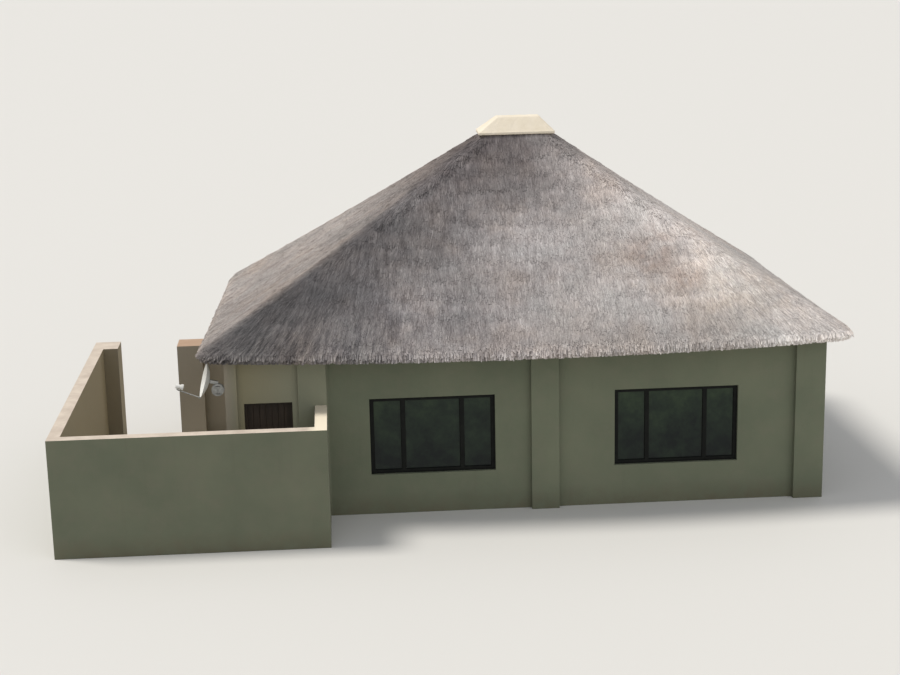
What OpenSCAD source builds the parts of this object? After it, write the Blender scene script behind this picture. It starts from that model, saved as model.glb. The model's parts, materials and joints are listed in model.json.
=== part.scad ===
/* [Walls] */
// Length of the hut over its corner piers
hut_l = 11200; // [10400:100:12000]
// Width of the hut over its corner piers
hut_w = 6820; // [6400:20:7200]
// Thickness of a brick wall with its plaster
wall_t = 220; // [200:10:260]
// Width of a pier between two bays
pier_w = 520; // [450:10:560]
// How far a pier stands out of the wall
pier_out = 110; // [80:10:140]
// Height of the floor above the lowest ground
floor_h = 130; // [80:10:250]
// Height of the door and window heads above the lowest ground
head_h = 2250; // [2200:10:2350]

/* [Windows and door] */
// Width of a window
window_w = 2340; // [1800:20:2400]
// Height of a window
window_h = 1480; // [900:20:1500]
// Thickness of a window frame from front to back
frame_d = 70; // [50:5:90]
// Width of a frame bar with its sash seen from the front
frame_bar = 70; // [50:5:90]
// Width of the doorway in the wall
door_w = 890; // [850:10:950]
// Thickness of the door leaf
leaf_t = 44; // [38:2:50]

/* [Thatched roof] */
// Length of the roof over its eaves at the front
eave_l = 12140; // [12000:20:12300]
// Length of the roof over its eaves at the back, where it was cut shorter
eave_back_l = 11520; // [11520:20:12140]
// Width of the roof over its eaves at the corners
eave_w = 7560; // [7500:20:7900]
// Height of the eave's lower lip
eave_h = 3110; // [3000:10:3250]
// Height of the cap's base, where the thatch ends
cap_h = 6685; // [6200:5:7000]
// How much the long eaves bow outwards
bow_long = 300; // [0:10:400]
// How far the slopes sag inwards halfway up
sag = 100; // [0:10:160]
// How much the eaves rise at the corners
corner_lift = 55; // [0:5:80]
// Thickness of the thatch, measured upright
thatch_t = 190; // [150:10:260]
// How far the foot of a thatch course stands out over the one below
course_step = 16; // [8:2:30]
// Length of the ridge cap at its base
cap_l = 1470; // [1300:10:1700]
// Width of the ridge cap at its base
cap_w = 660; // [500:10:900]

/* [Yard] */
// Height of the yard walls
yard_h = 2200; // [1900:50:2300]
// Reach of the yard to the left of the kitchen pier
yard_l = 4900; // [4500:100:5200]
// Reach of the yard in front of the hut's panels
yard_out = 1675; // [1500:25:2000]
// Depth of the yard from front to back
yard_d = 6955; // [6000:5:7100]
// Width of a gate pier
gate_pier_w = 520; // [450:10:600]
// Depth of a gate pier
gate_pier_d = 600; // [450:10:650]
// Clear width of the yard's entrance
gate_w = 1230; // [1000:10:1400]

/* [Satellite dish] */
// Height of the dish
dish_h = 640; // [500:10:700]

/* [Hidden] */
$fn = 48;
half_l = hut_l / 2;
half_w = hut_w / 2;
panel_x = half_l - pier_out;
panel_y = half_w - pier_out;
inner_x = panel_x - wall_t;
inner_y = panel_y - wall_t;
wall_top = 4200;
sill_h = head_h - window_h;

// Bays of the front wall, from left to right
left_corner_w = 220;
right_corner_w = 560;
kitchen_pier_x = -4260;
left_bay_x = kitchen_pier_x + pier_w;
middle_pier_x = 50;
right_bay_x = middle_pier_x + pier_w;
right_bay_end = half_l - right_corner_w;
door_x1 = -inner_x;
door_x2 = door_x1 + door_w;
left_window_x = -1790;
right_window_x = 2800;
side_pier_y = 0;
side_window_y = (half_w - left_corner_w + pier_w / 2) / 2;
window_set_back = 70;

// Roof outline, from the eave up to its small top under the cap
eave_a = eave_l / 2;
eave_b = eave_w / 2;
taper = 1 - eave_back_l / eave_l;
lip_h = 175;
lip_levels = [[60, 0], [15, 35], [0, 100]];
front_r = 400;
back_r = 700;
top_in = 10;
top_a = cap_l / 2 - top_in;
top_b = cap_w / 2 - top_in;
top_r = 200;
cap_x = 150;
front_sag = 0.6;
slope_z = eave_h + lip_h;
slope_h = cap_h - slope_z;
corner_steps = 8;
side_steps = 8;
courses = 12;

// Roof void, one thickness of thatch below the slopes
void_in = 45;
void_levels = [0, 0.25, 0.5, 0.75, 0.94];

// Yard
yard_x1 = left_bay_x - yard_l;
yard_y1 = -panel_y - yard_out;
yard_y2 = yard_y1 + yard_d;
gate_x1 = yard_x1 + gate_pier_w;
gate_x2 = gate_x1 + gate_w;

// Glass and door, the door set flush with the inner face and opening inwards
glass_t = 6;
jamb_w = 36;
door_gap = 6;
door_frame_d = 110;
stop_w = 15;
stop_d = door_frame_d - leaf_t - door_gap;
leaf_x1 = door_x1 + jamb_w + door_gap;
leaf_x2 = door_x2 - jamb_w - door_gap;
leaf_z1 = floor_h + door_gap;
leaf_z2 = head_h - jamb_w - door_gap;
handle_h = 1030;
handle_in = 60;
hinge_h = 100;
knuckle_h = 32;
hinge_r = 7;
hinge_w = 28;
hinge_t = 3;
pin_r = 4;
pin_gap = 0.15;
hinge_x = leaf_x2 + door_gap / 2;
hinge_y = -inner_y + hinge_r;
hinge_z = [leaf_z1 + 150, (leaf_z1 + leaf_z2 - hinge_h) / 2, leaf_z2 - 150 - hinge_h];

// Ridge cap
cap_lip = 20;
cap_lip_h = 60;
cap_rise = 330;
cap_top_l = 840;
cap_top_w = 300;
cap_top_x = 50;

// Lever handles
handle_plate = [40, 160, 6];
handle_neck_d = 18;
handle_out = 50;
handle_bar = [125, 18, 12];

// Dish on the side of the front left corner pier, facing away from the wall
dish_out = 285;
dish_x = -half_l - dish_out;
dish_y = -half_w + left_corner_w / 2;
dish_z = 2715;
dish_tilt = 15;
dish_turn = 7;
dish_r = 560;
dish_t = 6;
dish_deep = dish_r - sqrt(pow(dish_r, 2) - pow(dish_h / 2, 2));
dish_seat = 0.2;
foot_h = 30;
foot_w = 34;
arm_d = 22;
arm_l = 430;
arm_lean = 9;
feed_d = 80;
feed_cap_d = 110;
feed_l = 100;
feed_cap_l = 40;
cradle_w = 40;
cradle_out = 25;
plate_t = 8;
plate_w = 120;
plate_h = 240;
tube_d = 42;
cheek_r = 115;
cheek_t = 8;
cheek_gap = 60;
cheek_x = 130;
cheek_z = 2545;
slot_r = 75;
slot_w = 18;
clamp_w = 60;
clamp_l = 170;

// Rounded outline with bowed sides
function arc_points(x, y, r, a0) = [for (i = [0:corner_steps])
  [x + r * cos(a0 + 90 * i / corner_steps), y + r * sin(a0 + 90 * i / corner_steps)]];

function side_points(p, q, out, bow) = [for (k = [1:side_steps - 1])
  p + (q - p) * k / side_steps + out * bow * sin(180 * k / side_steps)];

function outline(a, b, r1, r2, bow) = concat(
  arc_points(a - r1, r1 - b, r1, -90),
  side_points([a, r1 - b], [a, b - r2], [1, 0], 0),
  arc_points(a - r2, b - r2, r2, 0),
  side_points([a - r2, b], [r2 - a, b], [0, 1], bow),
  arc_points(r2 - a, b - r2, r2, 90),
  side_points([-a, b - r2], [-a, r1 - b], [-1, 0], 0),
  arc_points(r1 - a, r1 - b, r1, 180),
  side_points([r1 - a, -b], [a - r1, -b], [0, -1], bow));

function mix(p, q, t) = p + (q - p) * t;

// Solid through a stack of rings, closed at both ends by fans round the z axis
module loft(rings) {
  n = len(rings[0]);
  m = len(rings);
  centres = [[0, 0, rings[0][0][2]], [0, 0, rings[m - 1][0][2]]];
  bottom = [for (i = [0:n - 1]) [m * n, i, (i + 1) % n]];
  top = [for (i = [0:n - 1]) [m * n + 1, (m - 1) * n + (i + 1) % n, (m - 1) * n + i]];
  sides = [for (j = [0:m - 2], i = [0:n - 1], k = [0:1])
    k == 0 ? [j * n + i, (j + 1) * n + (i + 1) % n, j * n + (i + 1) % n]
           : [j * n + i, (j + 1) * n + i, (j + 1) * n + (i + 1) % n]];
  polyhedron(points = concat([for (r = rings, p = r) p], centres),
             faces = concat(bottom, sides, top), convexity = 4);
}

// Level t of the roof, from 0 at the eave to 1 at the cap, set in and raised as given
function thatch_ring(t, inset, z) =
  let(a = mix(eave_a, top_a, t) - inset - 4 * sag * t * (1 - t),
      b = mix(eave_b, top_b, t) - inset - 4 * sag * front_sag * t * (1 - t),
      r1 = mix(front_r, top_r, t) - inset,
      r2 = mix(back_r, top_r, t) - inset,
      fade = pow(1 - t, 2))
  [for (p = outline(a, b, r1, r2, bow_long * fade)) [
    cap_x * t + p[0] * (1 - taper * (1 - t) * (p[1] / b + 1) / 2),
    p[1],
    z + corner_lift * fade * pow(p[0] / a, 4) * pow(p[1] / b, 4)]];

// Each course of thatch stands proud at its foot and runs in under the next one's
module roof_outside() {
  loft(concat(
    [for (level = lip_levels) thatch_ring(0, level[0], eave_h + level[1])],
    [for (k = [0:courses - 1], up = [0, 1])
      thatch_ring((k + up) / courses, up * course_step, slope_z + slope_h * (k + up) / courses)]));
}

module roof_void() {
  loft(concat(
    [thatch_ring(0, void_in, -100)],
    [for (t = void_levels) thatch_ring(t, void_in, slope_z + slope_h * t - thatch_t)]));
}

// Box between two corners
module block(p, q) {
  translate(p) cube(q - p);
}

// Masonry from the ground up to the underside of the thatch
module masonry() {
  color("#8d8b78") intersection() {
    children();
    roof_void();
  }
}

module mirrored_x() {
  children();
  mirror([1, 0, 0]) children();
}

module mirrored_y() {
  children();
  mirror([0, 1, 0]) children();
}

module floor_slab() {
  color("#8a857a") block([-inner_x, -inner_y, 0], [inner_x, inner_y, floor_h]);
}

module door_sill() {
  color("#8a857a") block([door_x1, -panel_y, 0], [door_x2, -inner_y, floor_h]);
}

// Corner pier with its outer corner at the origin, its front face as wide as given
module corner_pier(w_front) {
  linear_extrude(wall_top) difference() {
    union() {
      square([w_front, pier_out]);
      square([pier_out, left_corner_w]);
      square([max(w_front, pier_out + wall_t), pier_out + wall_t]);
    }
    translate([w_front, -1]) square([wall_t, pier_out + 1]);
    translate([-1, left_corner_w]) square([pier_out + 1, wall_t]);
  }
}

module corner_piers() {
  masonry() mirrored_y() {
    translate([-half_l, -half_w, 0]) corner_pier(left_corner_w);
    translate([half_l, -half_w, 0]) mirror([1, 0, 0]) corner_pier(right_corner_w);
  }
}

module front_pier(x) {
  block([x, -half_w, 0], [x + pier_w, -inner_y, wall_top]);
}

module front_piers() {
  masonry() {
    front_pier(kitchen_pier_x);
    front_pier(middle_pier_x);
  }
}

module back_piers() {
  masonry() mirror([0, 1, 0]) {
    front_pier(kitchen_pier_x);
    front_pier(middle_pier_x);
  }
}

module side_piers() {
  masonry() mirrored_x()
    block([-half_l, side_pier_y - pier_w / 2, 0], [-inner_x, side_pier_y + pier_w / 2, wall_top]);
}

module wall_beside_door() {
  masonry() block([door_x2, -panel_y, 0], [kitchen_pier_x, -inner_y, wall_top]);
}

module wall_over_door() {
  masonry() block([door_x1, -panel_y, head_h], [door_x2, -inner_y, wall_top]);
}

module bay_wall(x1, x2, window_x) {
  difference() {
    block([x1, -panel_y, 0], [x2, -inner_y, wall_top]);
    block([window_x - window_w / 2, -panel_y - 1, sill_h], [window_x + window_w / 2, 1 - inner_y, head_h]);
  }
}

module front_wall_left() {
  masonry() bay_wall(left_bay_x, middle_pier_x, left_window_x);
}

module front_wall_right() {
  masonry() bay_wall(right_bay_x, right_bay_end, right_window_x);
}

module back_wall_plain() {
  masonry() block([-inner_x, inner_y, 0], [kitchen_pier_x, panel_y, wall_top]);
}

module back_wall_left() {
  masonry() mirror([0, 1, 0]) bay_wall(left_bay_x, middle_pier_x, left_window_x);
}

module back_wall_right() {
  masonry() mirror([0, 1, 0]) bay_wall(right_bay_x, right_bay_end, right_window_x);
}

// Side wall between the middle pier and a corner pier, towards the front
module side_bay(x1, x2) {
  block([x1, -inner_y, 0], [x2, side_pier_y - pier_w / 2, wall_top]);
}

module left_wall_front() {
  masonry() side_bay(-panel_x, -inner_x);
}

module left_wall_back() {
  masonry() mirror([0, 1, 0]) side_bay(-panel_x, -inner_x);
}

module side_window_place() {
  translate([panel_x, -side_window_y, 0]) rotate([0, 0, 90]) children();
}

module right_wall_front() {
  masonry() difference() {
    side_bay(inner_x, panel_x);
    side_window_place() block([-window_w / 2, -1, sill_h], [window_w / 2, wall_t + 1, head_h]);
  }
}

module right_wall_back() {
  masonry() mirror([0, 1, 0]) difference() {
    side_bay(inner_x, panel_x);
    side_window_place() block([-window_w / 2, -1, sill_h], [window_w / 2, wall_t + 1, head_h]);
  }
}

// Window frame in a wall whose outer face is at y = 0, with a wide light between two narrow ones
module window_frame() {
  translate([-window_w / 2, window_set_back, sill_h]) difference() {
    cube([window_w, frame_d, window_h]);
    light_holes() translate([0, -1, 0]) cube([$light_w, frame_d + 2, window_h - 2 * frame_bar]);
  }
}

// Places a child at each light of the window
module light_holes() {
  clear_w = window_w - 4 * frame_bar;
  widths = [clear_w / 4, clear_w / 2, clear_w / 4];
  starts = [frame_bar, 2 * frame_bar + clear_w / 4, 3 * frame_bar + 3 * clear_w / 4];
  for (i = [0:2]) {
    $light_w = widths[i];
    translate([starts[i], 0, frame_bar]) children();
  }
}

module window_glass() {
  translate([-window_w / 2, window_set_back + (frame_d - glass_t) / 2, sill_h])
    light_holes() cube([$light_w, glass_t, window_h - 2 * frame_bar]);
}

module front_place(x) {
  translate([x, -panel_y, 0]) children();
}

module front_window_left() {
  color("#1c1814") front_place(left_window_x) window_frame();
}

module front_window_right() {
  color("#1c1814") front_place(right_window_x) window_frame();
}

module back_windows() {
  color("#1c1814") mirror([0, 1, 0]) {
    front_place(left_window_x) window_frame();
    front_place(right_window_x) window_frame();
  }
}

module side_windows() {
  color("#1c1814") mirrored_y() side_window_place() window_frame();
}

module front_glass_left() {
  color("#2f342e") front_place(left_window_x) window_glass();
}

module front_glass_right() {
  color("#2f342e") front_place(right_window_x) window_glass();
}

module back_glass() {
  color("#2f342e") mirror([0, 1, 0]) {
    front_place(left_window_x) window_glass();
    front_place(right_window_x) window_glass();
  }
}

module side_glass() {
  color("#2f342e") mirrored_y() side_window_place() window_glass();
}

module door_frame() {
  color("#3a2219") difference() {
    block([door_x1, -inner_y - door_frame_d, floor_h], [door_x2, -inner_y, head_h]);
    block([door_x1 + jamb_w, -inner_y - door_frame_d + stop_d, floor_h - 1],
          [door_x2 - jamb_w, 1 - inner_y, head_h - jamb_w]);
    block([door_x1 + jamb_w + stop_w, -inner_y - door_frame_d - 1, floor_h - 1],
          [door_x2 - jamb_w - stop_w, 1 - inner_y, head_h - jamb_w - stop_w]);
  }
}

module door_leaf() {
  color("#3f231a") block([leaf_x1, -inner_y - leaf_t, leaf_z1], [leaf_x2, -inner_y, leaf_z2]);
}

// Lever handle on a face at y = 0, standing out towards -y
module lever_handle() {
  rotate([90, 0, 0]) {
    translate([-handle_plate[0] / 2, -handle_plate[1] / 2, 0]) cube(handle_plate);
    cylinder(h = handle_out, d = handle_neck_d);
    translate([-handle_neck_d / 2, -handle_bar[1] / 2, handle_out - handle_bar[2]]) cube(handle_bar);
  }
}

module door_handles() {
  color("#b9b9b4") translate([leaf_x1 + handle_in, -inner_y, handle_h + floor_h]) {
    translate([0, -leaf_t, 0]) lever_handle();
    mirror([0, 1, 0]) lever_handle();
  }
}

// Places a child on the hinge axis at the foot of each hinge
module hinge_places() {
  for (z = hinge_z) translate([hinge_x, hinge_y, z]) children();
}

// Fixed halves with their pins, on the jamb
module hinge_pins() {
  color("#b9b9b4") hinge_places() {
    translate([hinge_r + 1, -hinge_r, 0]) cube([hinge_w, hinge_t, hinge_h]);
    for (z = [0, hinge_h - knuckle_h]) {
      translate([0, 0, z]) cylinder(h = knuckle_h, r = hinge_r);
      translate([0, -hinge_r, z]) cube([hinge_r + 2, hinge_t, knuckle_h]);
    }
    cylinder(h = hinge_h, r = pin_r);
  }
}

// Moving halves, on the leaf
module hinge_knuckles() {
  color("#b9b9b4") hinge_places() translate([0, 0, knuckle_h + 1]) difference() {
    union() {
      cylinder(h = hinge_h - 2 * knuckle_h - 2, r = hinge_r);
      translate([-hinge_r - 1 - hinge_w, -hinge_r, 0])
        cube([hinge_r + 1 + hinge_w, hinge_t, hinge_h - 2 * knuckle_h - 2]);
    }
    translate([0, 0, -1]) cylinder(h = hinge_h, r = pin_r + pin_gap);
  }
}

module thatch_roof() {
  color("#8c8177") difference() {
    roof_outside();
    roof_void();
  }
}

module ridge_cap() {
  color("#ecdcc0") translate([cap_x, 0, cap_h]) {
    translate([-cap_l / 2 - cap_lip, -cap_w / 2 - cap_lip, 0])
      cube([cap_l + 2 * cap_lip, cap_w + 2 * cap_lip, cap_lip_h]);
    loft([cap_ring(cap_l, cap_w, 0, cap_lip_h), cap_ring(cap_top_l, cap_top_w, cap_top_x, cap_rise)]);
  }
}

function cap_ring(l, w, x, z) = [for (p = [[-1, -1], [1, -1], [1, 1], [-1, 1]])
  [x + p[0] * l / 2, p[1] * w / 2, z]];

module yard_front_wall() {
  color("#8d8b78") block([yard_x1, yard_y1, 0], [left_bay_x, yard_y1 + wall_t, yard_h]);
}

module yard_left_wall() {
  color("#8d8b78") block([yard_x1, yard_y1 + wall_t, 0],
                         [yard_x1 + wall_t, yard_y2 - gate_pier_d, yard_h]);
}

module yard_return_wall() {
  color("#8d8b78") block([left_bay_x - wall_t, yard_y1 + wall_t, 0], [left_bay_x, -half_w, yard_h]);
}

module yard_back_wall() {
  color("#8d8b78") block([gate_x2 + gate_pier_w, yard_y2 - wall_t, 0], [-panel_x, yard_y2, yard_h]);
}

module gate_piers() {
  color("#8d8b78") for (x = [yard_x1, gate_x2])
    block([x, yard_y2 - gate_pier_d, 0], [x + gate_pier_w, yard_y2, yard_h]);
}

// Places the dish with its boresight along z and its top towards x
module dish_place() {
  translate([dish_x, dish_y, dish_z]) rotate([0, 0, dish_turn]) rotate([0, dish_tilt - 90, 0]) children();
}

module dish() {
  color("#d8d8d4") dish_place() rotate_extrude($fn = 64)
    difference() {
      intersection() {
        translate([0, dish_r]) circle(dish_r + dish_t, $fn = 180);
        translate([0, -dish_t]) square([dish_h / 2, dish_deep + dish_t]);
      }
      translate([0, dish_r]) circle(dish_r, $fn = 180);
    }
}

// Arm from a foot under the rim to the cradle of the feed
module dish_arm() {
  color("#b4b4b0") dish_place() {
    translate([-dish_h / 2 - dish_seat - foot_h, -foot_w / 2, dish_deep - foot_w / 2])
      difference() {
        cube([foot_h + 10, foot_w, foot_w]);
        translate([foot_h + dish_seat + dish_h / 2, foot_w / 2, -1])
          cylinder(h = foot_w + 2, r = dish_h / 2 + dish_seat, $fn = 96);
      }
    translate([-dish_h / 2 - foot_h + arm_d / 2, 0, dish_deep]) rotate([0, arm_lean, 0])
      cylinder(h = arm_l, d = arm_d);
    feed_place() difference() {
      translate([-feed_d / 2 - cradle_out, -cradle_w / 2, -cradle_w / 2])
        cube([feed_d / 2 + cradle_out, cradle_w, cradle_w]);
      translate([0, 0, -cradle_w]) cylinder(h = 2 * cradle_w, d = feed_d + 2 * dish_seat);
    }
  }
}

// Places the feed beyond the end of the arm, looking back at the middle of the dish
module feed_place() {
  translate([-dish_h / 2 - foot_h + arm_d / 2 + arm_l * sin(arm_lean), 0, dish_deep + arm_l * cos(arm_lean)])
    translate([feed_d / 2 + cradle_out, 0, 0]) children();
}

module dish_feed() {
  color("#e4e4e0") dish_place() feed_place() {
    translate([0, 0, -feed_l / 2]) cylinder(h = feed_l, d = feed_d);
    translate([0, 0, -feed_l / 2 - feed_cap_l]) cylinder(h = feed_cap_l, d = feed_cap_d);
  }
}

// Wall plate with a tube, two round cheeks clamped on it, and a block up to the back of the dish
module dish_bracket() {
  color("#9a9a95") {
    translate([-half_l - plate_t, dish_y - plate_w / 2, cheek_z - plate_h / 2])
      cube([plate_t, plate_w, plate_h]);
    translate([-half_l - plate_t, dish_y, cheek_z]) rotate([0, -90, 0])
      cylinder(h = cheek_x + cheek_r / 2, d = tube_d);
    translate([-half_l - cheek_x, dish_y, cheek_z]) {
      translate([0, -cheek_gap / 2, 0]) bracket_cheek();
      translate([0, cheek_gap / 2 + cheek_t, 0]) bracket_cheek();
      translate([-clamp_w / 2, -cheek_gap / 2, -clamp_w / 2]) cube([clamp_w, cheek_gap, clamp_w]);
    }
    dish_place() difference() {
      translate([-clamp_w / 2, -clamp_w / 2, -clamp_l]) cube([clamp_w, clamp_w, clamp_l + 5]);
      translate([0, 0, dish_r]) sphere(dish_r + dish_t + dish_seat, $fn = 180);
    }
  }
}

// Round cheek with two curved slots, its outer face at y = 0
module bracket_cheek() {
  rotate([-90, 0, 180]) rotate([0, 0, 90]) linear_extrude(cheek_t) difference() {
    circle(cheek_r);
    mirrored_x() intersection() {
      difference() {
        circle(slot_r + slot_w / 2);
        circle(slot_r - slot_w / 2);
      }
      translate([0, -slot_r / 2]) square([slot_r + slot_w, slot_r]);
    }
  }
}

floor_slab();
door_sill();
corner_piers();
front_piers();
back_piers();
side_piers();
wall_beside_door();
wall_over_door();
front_wall_left();
front_wall_right();
back_wall_plain();
back_wall_left();
back_wall_right();
left_wall_front();
left_wall_back();
right_wall_front();
right_wall_back();
front_window_left();
front_window_right();
back_windows();
side_windows();
front_glass_left();
front_glass_right();
back_glass();
side_glass();
door_frame();
door_leaf();
door_handles();
hinge_pins();
hinge_knuckles();
thatch_roof();
ridge_cap();
yard_front_wall();
yard_left_wall();
yard_return_wall();
yard_back_wall();
gate_piers();
dish();
dish_arm();
dish_feed();
dish_bracket();
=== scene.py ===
import json
import math
from functools import reduce

import bpy
import numpy as np
from mathutils import Euler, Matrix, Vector, noise


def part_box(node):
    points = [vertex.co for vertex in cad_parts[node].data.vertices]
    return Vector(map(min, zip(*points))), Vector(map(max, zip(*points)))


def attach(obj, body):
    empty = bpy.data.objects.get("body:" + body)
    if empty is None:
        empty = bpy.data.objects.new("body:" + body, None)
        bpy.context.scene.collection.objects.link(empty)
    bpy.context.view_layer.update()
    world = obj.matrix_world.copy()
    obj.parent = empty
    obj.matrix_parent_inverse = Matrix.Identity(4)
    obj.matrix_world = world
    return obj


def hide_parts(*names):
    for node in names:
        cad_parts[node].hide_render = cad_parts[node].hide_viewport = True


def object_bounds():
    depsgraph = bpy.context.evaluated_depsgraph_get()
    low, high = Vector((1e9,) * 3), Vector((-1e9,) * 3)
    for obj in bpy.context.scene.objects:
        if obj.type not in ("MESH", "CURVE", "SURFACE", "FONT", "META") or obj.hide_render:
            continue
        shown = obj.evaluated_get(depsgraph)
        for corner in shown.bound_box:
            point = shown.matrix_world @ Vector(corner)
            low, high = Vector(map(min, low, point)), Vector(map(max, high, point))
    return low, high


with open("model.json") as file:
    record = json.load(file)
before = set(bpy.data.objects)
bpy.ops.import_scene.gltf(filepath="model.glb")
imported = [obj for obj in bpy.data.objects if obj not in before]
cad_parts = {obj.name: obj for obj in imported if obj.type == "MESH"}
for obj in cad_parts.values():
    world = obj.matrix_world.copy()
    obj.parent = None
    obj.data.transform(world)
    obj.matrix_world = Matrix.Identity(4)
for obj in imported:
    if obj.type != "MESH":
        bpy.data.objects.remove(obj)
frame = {"nodes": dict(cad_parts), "record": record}
cad_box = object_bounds()


# Sizes repeated from the part's source, in metres
EAVE_A, EAVE_BACK_A, EAVE_B = 6.07, 5.76, 3.78
EAVE_H, LIP_H, CAP_H = 3.11, 0.175, 6.685
TOP_A, TOP_B, TOP_R = 0.725, 0.32, 0.20
FRONT_R, BACK_R = 0.40, 0.70
BOW, SAG, FRONT_SAG, CORNER_LIFT = 0.30, 0.10, 0.6, 0.055
CAP_X, THATCH_T, VOID_IN, VOID_TOP = 0.15, 0.19, 0.045, 0.94
COURSES, COURSE_RELIEF = 12, 0.004
TAPER = 1 - EAVE_BACK_A / EAVE_A
SLOPE_Z = EAVE_H + LIP_H
SLOPE_H = CAP_H - SLOPE_Z
YARD_LEFT, YARD_RIGHT, YARD_FRONT, YARD_H = -8.64, -3.74, -4.975, 2.2
GATE_PIER_Y = 1.38
WINDOW_W, FRAME_BAR, GLASS_T = 2.34, 0.07, 0.006


def give(tree, socket, value):
    """Links another node's socket to this one, or sets its value."""
    if isinstance(value, bpy.types.NodeSocket):
        tree.links.new(value, socket)
    else:
        socket.default_value = value


def add_node(tree, kind, inputs=(), **settings):
    """A new node, its settings made before its inputs are given."""
    n = tree.nodes.new(kind)
    for key, value in settings.items():
        setattr(n, key, value)
    for key, value in dict(inputs).items():
        give(tree, n.inputs[key], value)
    return n


# Finishes

class Finish:
    """A material built node by node, with a few words for the nodes it uses."""

    def __init__(self, name):
        self.mat = bpy.data.materials.new(name)
        self.mat.use_nodes = True
        self.tree = self.mat.node_tree
        self.shader = self.tree.nodes["Principled BSDF"]

    def put(self, kind, inputs=(), **settings):
        return add_node(self.tree, kind, inputs, **settings)

    def where(self, scale=(1, 1, 1), source=None):
        """Object coordinates in metres, or another vector, stretched by a scale."""
        source = source or self.put("ShaderNodeTexCoord").outputs["Object"]
        return self.put("ShaderNodeMapping", {"Vector": source, "Scale": scale}).outputs[0]

    def axes(self, vector):
        return tuple(self.put("ShaderNodeSeparateXYZ", {0: vector}).outputs)

    def own(self, attribute, kind):
        """A value stored on the piece itself."""
        return self.put("ShaderNodeAttribute", attribute_name=attribute).outputs[kind]

    def noise(self, where, scale, detail=2.0, rough=0.5, distort=0.0):
        return self.put("ShaderNodeTexNoise", {
            "Vector": where, "Scale": scale, "Detail": detail, "Roughness": rough,
            "Distortion": distort}).outputs[0]

    def cells(self, where, scale):
        n = self.put("ShaderNodeTexVoronoi", {"Vector": where, "Scale": scale})
        return n.outputs["Distance"]

    def span(self, value, low, high, out_low=0.0, out_high=1.0):
        """How far the value is from low to high, as a place between the two outputs."""
        return self.put("ShaderNodeMapRange", {
            "Value": value, "From Min": low, "From Max": high, "To Min": out_low,
            "To Max": out_high}, clamp=True).outputs[0]

    def calc(self, op, a, b=0.0, clamp=False):
        return self.put("ShaderNodeMath", {0: a, 1: b}, operation=op, use_clamp=clamp).outputs[0]

    def plus(self, a, b, clamp=False):
        return self.calc("ADD", a, b, clamp)

    def times(self, *factors):
        return reduce(lambda a, b: self.calc("MULTIPLY", a, b), factors)

    def most(self, *values):
        return reduce(lambda a, b: self.calc("MAXIMUM", a, b), values)

    def near(self, where, point, reach, ragged=0.0):
        """1 at a point, down to 0 at the given reach from it, with an edge as ragged as given."""
        n = self.put("ShaderNodeVectorMath", {0: where, 1: point}, operation="DISTANCE")
        return self.span(self.plus(n.outputs["Value"], ragged), reach, 0.25 * reach)

    def ramp(self, value, *stops):
        n = self.put("ShaderNodeValToRGB", {0: value})
        while len(n.color_ramp.elements) < len(stops):
            n.color_ramp.elements.new(0.5)
        for e, (at, colour) in zip(n.color_ramp.elements, stops):
            e.position = at
            e.color = rgb(colour)
        return n.outputs[0]

    def mix(self, amount, a, b, how="MIX"):
        n = self.put("ShaderNodeMix", {0: amount, 6: a, 7: b}, data_type="RGBA", blend_type=how)
        return n.outputs[2]

    def tinted(self, amount, colour, tint):
        """The colour multiplied by a tint or a plain factor, as far as the amount says."""
        if isinstance(tint, float):
            tint = (tint, tint, tint, 1.0)
        return self.mix(amount, colour, self.mix(1.0, colour, tint, "MULTIPLY"))

    def bump(self, height, distance, strength):
        return self.put("ShaderNodeBump", {
            "Height": height, "Distance": distance, "Strength": strength}).outputs[0]

    def surface(self, **values):
        for key, value in values.items():
            give(self.tree, self.shader.inputs[key.replace("_", " ")], value)
        return self.mat


def rgb(hexa):
    """A written sRGB colour as the linear values that a node takes."""
    parts = [int(hexa[i:i + 2], 16) / 255 for i in (1, 3, 5)]
    linear = [p / 12.92 if p <= 0.04045 else ((p + 0.055) / 1.055) ** 2.4 for p in parts]
    return (*linear, 1.0)


def yard_painted_light(f, colour, x, y):
    """Painted warm bounce light makes the plaster browner inside the yard: on its walls and
    gate piers, the hut's corner, the kitchen bay and least on the kitchen pier. Painted shade
    darkens the corner between the long yard wall and its gate pier and, a little, the yard's
    outer face."""
    in_yard = f.times(f.span(x, YARD_LEFT + 0.001, YARD_LEFT + 0.004),
                      f.span(x, YARD_RIGHT + 0.04, YARD_RIGHT - 0.02),
                      f.span(y, YARD_FRONT + 0.025, YARD_FRONT + 0.075))
    # Painted warm bounce light inside the yard, as a browner tint
    brown = f.ramp(f.span(x, YARD_LEFT, YARD_RIGHT), (0.09, "#c2ad8a"), (0.14, "#b8a999"),
                   (0.62, "#b8a999"), (0.65, "#a69d89"), (0.68, "#ada180"), (0.89, "#adaa93"))
    how_brown = f.span(x, -4.28, -4.24, 0.58, 0.31)
    colour = f.mix(in_yard, colour, f.mix(how_brown, colour, brown))
    # Painted shade in the corner between the long yard wall and its gate pier, where the wall's
    # shadow falls
    nook = f.times(f.span(x, -8.10, -8.12), f.span(y, GATE_PIER_Y - 0.015, GATE_PIER_Y - 0.005),
                   f.span(y, GATE_PIER_Y + 0.010, GATE_PIER_Y + 0.003))
    colour = f.mix(f.times(nook, 0.50), colour, rgb("#50493e"))
    # Painted shade, slight, on the yard's outer face
    outside = f.span(y, YARD_FRONT + 0.075, YARD_FRONT + 0.025)
    return f.tinted(outside, colour, rgb("#f4f2f3"))


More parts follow.
